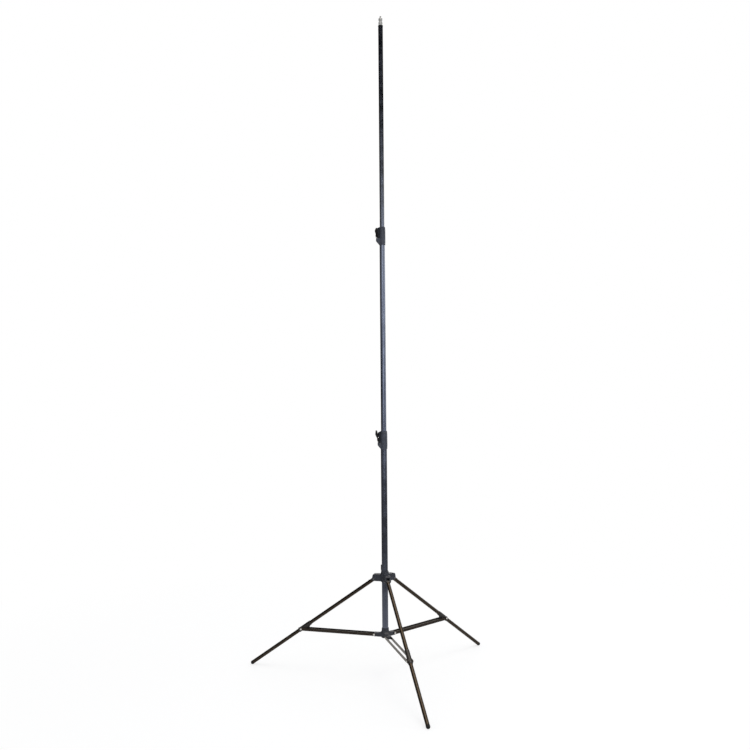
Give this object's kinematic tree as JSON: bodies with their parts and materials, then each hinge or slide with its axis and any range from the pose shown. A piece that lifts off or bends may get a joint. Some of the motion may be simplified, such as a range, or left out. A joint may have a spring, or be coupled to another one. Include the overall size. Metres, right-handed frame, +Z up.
{
  "type": "light stand",
  "caption": "Folding light stand with a telescopic mast, spread legs tied by double flat bars, lever-knob locks and a short bright stud on top.",
  "frame": {"origin": "on the floor, below the mast axis", "axes": "+Z up along the mast, leg 1 points along -Y, legs 2 and 3 at 120 degrees either side"},
  "size_m": [1.0376, 0.9006, 2.6997],
  "materials": {
    "mast_paint": "satin dark blue-grey coating",
    "leg_paint": "satin black coating",
    "moulding": "fine-grained dark grey",
    "knob": "fine-grained black",
    "nylon": "natural nylon",
    "rubber": "matte black",
    "bright_steel": "bright zinc plated",
    "brass": "plain"
  },
  "bodies": {
    "column": {"bottom_tube": "mast_paint", "bottom_tube_plug": "moulding", "lower_spider": "moulding", "strut_pivot_rivet_1": "bright_steel", "strut_pivot_rivet_2": "bright_steel", "strut_pivot_rivet_3": "bright_steel", "lower_collar": "moulding", "lower_collar_rivet": "bright_steel", "lower_insert": "brass", "lower_brake_pad": "brass"},
    "lower_lock": {"lower_knob": "knob", "lower_screw": "bright_steel"},
    "middle_section": {"middle_tube": "mast_paint", "middle_tube_bush": "nylon", "upper_collar": "moulding", "upper_collar_rivet": "bright_steel", "upper_insert": "brass", "upper_brake_pad": "brass"},
    "upper_lock": {"upper_knob": "knob", "upper_screw": "bright_steel"},
    "top_section": {"top_tube": "mast_paint", "top_tube_bush": "nylon", "top_end_ring": "moulding", "stud": "bright_steel"},
    "leg_slider": {"leg_collar": "moulding", "leg_collar_liner": "nylon", "leg_pivot_rivet_1": "bright_steel", "leg_pivot_rivet_2": "bright_steel", "leg_pivot_rivet_3": "bright_steel", "leg_lock_insert": "brass", "leg_lock_brake_pad": "brass"},
    "leg_lock": {"leg_lock_knob": "knob", "leg_lock_screw": "bright_steel"},
    "leg_1": {"leg_1_tube": "leg_paint", "leg_1_eye": "moulding", "leg_1_bracket": "moulding", "leg_1_foot": "rubber", "leg_1_pivot_shank": "bright_steel"},
    "strut_1": {"strut_1_bar_left": "leg_paint", "strut_1_bar_right": "leg_paint", "strut_1_rivet_left": "bright_steel", "strut_1_rivet_right": "bright_steel"},
    "leg_2": {"leg_2_tube": "leg_paint", "leg_2_eye": "moulding", "leg_2_bracket": "moulding", "leg_2_foot": "rubber", "leg_2_pivot_shank": "bright_steel"},
    "strut_2": {"strut_2_bar_left": "leg_paint", "strut_2_bar_right": "leg_paint", "strut_2_rivet_left": "bright_steel", "strut_2_rivet_right": "bright_steel"},
    "leg_3": {"leg_3_tube": "leg_paint", "leg_3_eye": "moulding", "leg_3_bracket": "moulding", "leg_3_foot": "rubber", "leg_3_pivot_shank": "bright_steel"},
    "strut_3": {"strut_3_bar_left": "leg_paint", "strut_3_bar_right": "leg_paint", "strut_3_rivet_left": "bright_steel", "strut_3_rivet_right": "bright_steel"}
  },
  "joints": [
    {"name": "leg_collar_slide", "type": "slide", "parent": "column", "child": "leg_slider", "axis": [0, 0, 1], "range_m": [0, 0.48521]},
    {"name": "middle_slide", "type": "slide", "parent": "column", "child": "middle_section", "axis": [0, 0, 1], "range_m": [-0.72, 0]},
    {"name": "top_slide", "type": "slide", "parent": "middle_section", "child": "top_section", "axis": [0, 0, 1], "range_m": [-0.8, 0]},
    {"name": "lower_lock_turn", "type": "hinge", "parent": "column", "child": "lower_lock", "pos_m": [-0.0203, 0, 0.967], "axis": [-1, 0, 0], "range_deg": [0, 180]},
    {"name": "upper_lock_turn", "type": "hinge", "parent": "middle_section", "child": "upper_lock", "pos_m": [-0.0203, 0, 1.802], "axis": [-1, 0, 0], "range_deg": [0, 180]},
    {"name": "leg_lock_turn", "type": "hinge", "parent": "leg_slider", "child": "leg_lock", "pos_m": [0, 0.0348, 0.4075], "axis": [0, 1, 0], "range_deg": [0, 180]},
    {"name": "leg_1_fold", "type": "hinge", "parent": "leg_slider", "child": "leg_1", "pos_m": [0, -0.045, 0.3945], "axis": [1, 0, 0], "range_deg": [0, 54.59]},
    {"name": "strut_1_fold", "type": "hinge", "parent": "column", "child": "strut_1", "pos_m": [0, -0.045, 0.167], "axis": [-1, 0, 0], "range_deg": [0, 90]},
    {"name": "leg_2_fold", "type": "hinge", "parent": "leg_slider", "child": "leg_2", "pos_m": [0.03897, 0.0225, 0.3945], "axis": [-0.5, 0.866, 0], "range_deg": [0, 54.59]},
    {"name": "strut_2_fold", "type": "hinge", "parent": "column", "child": "strut_2", "pos_m": [0.03897, 0.0225, 0.167], "axis": [0.5, -0.866, 0], "range_deg": [0, 90]},
    {"name": "leg_3_fold", "type": "hinge", "parent": "leg_slider", "child": "leg_3", "pos_m": [-0.03897, 0.0225, 0.3945], "axis": [-0.5, -0.866, 0], "range_deg": [0, 54.59]},
    {"name": "strut_3_fold", "type": "hinge", "parent": "column", "child": "strut_3", "pos_m": [-0.03897, 0.0225, 0.167], "axis": [0.5, 0.866, 0], "range_deg": [0, 90]}
  ],
  "couplings": [
    {"joint": "leg_1_fold", "follows": "leg_collar_slide", "rad_per_m": 1.9637},
    {"joint": "strut_1_fold", "follows": "leg_collar_slide", "rad_per_m": 3.2373},
    {"joint": "leg_2_fold", "follows": "leg_collar_slide", "rad_per_m": 1.9637},
    {"joint": "strut_2_fold", "follows": "leg_collar_slide", "rad_per_m": 3.2373},
    {"joint": "leg_3_fold", "follows": "leg_collar_slide", "rad_per_m": 1.9637},
    {"joint": "strut_3_fold", "follows": "leg_collar_slide", "rad_per_m": 3.2373}
  ]
}
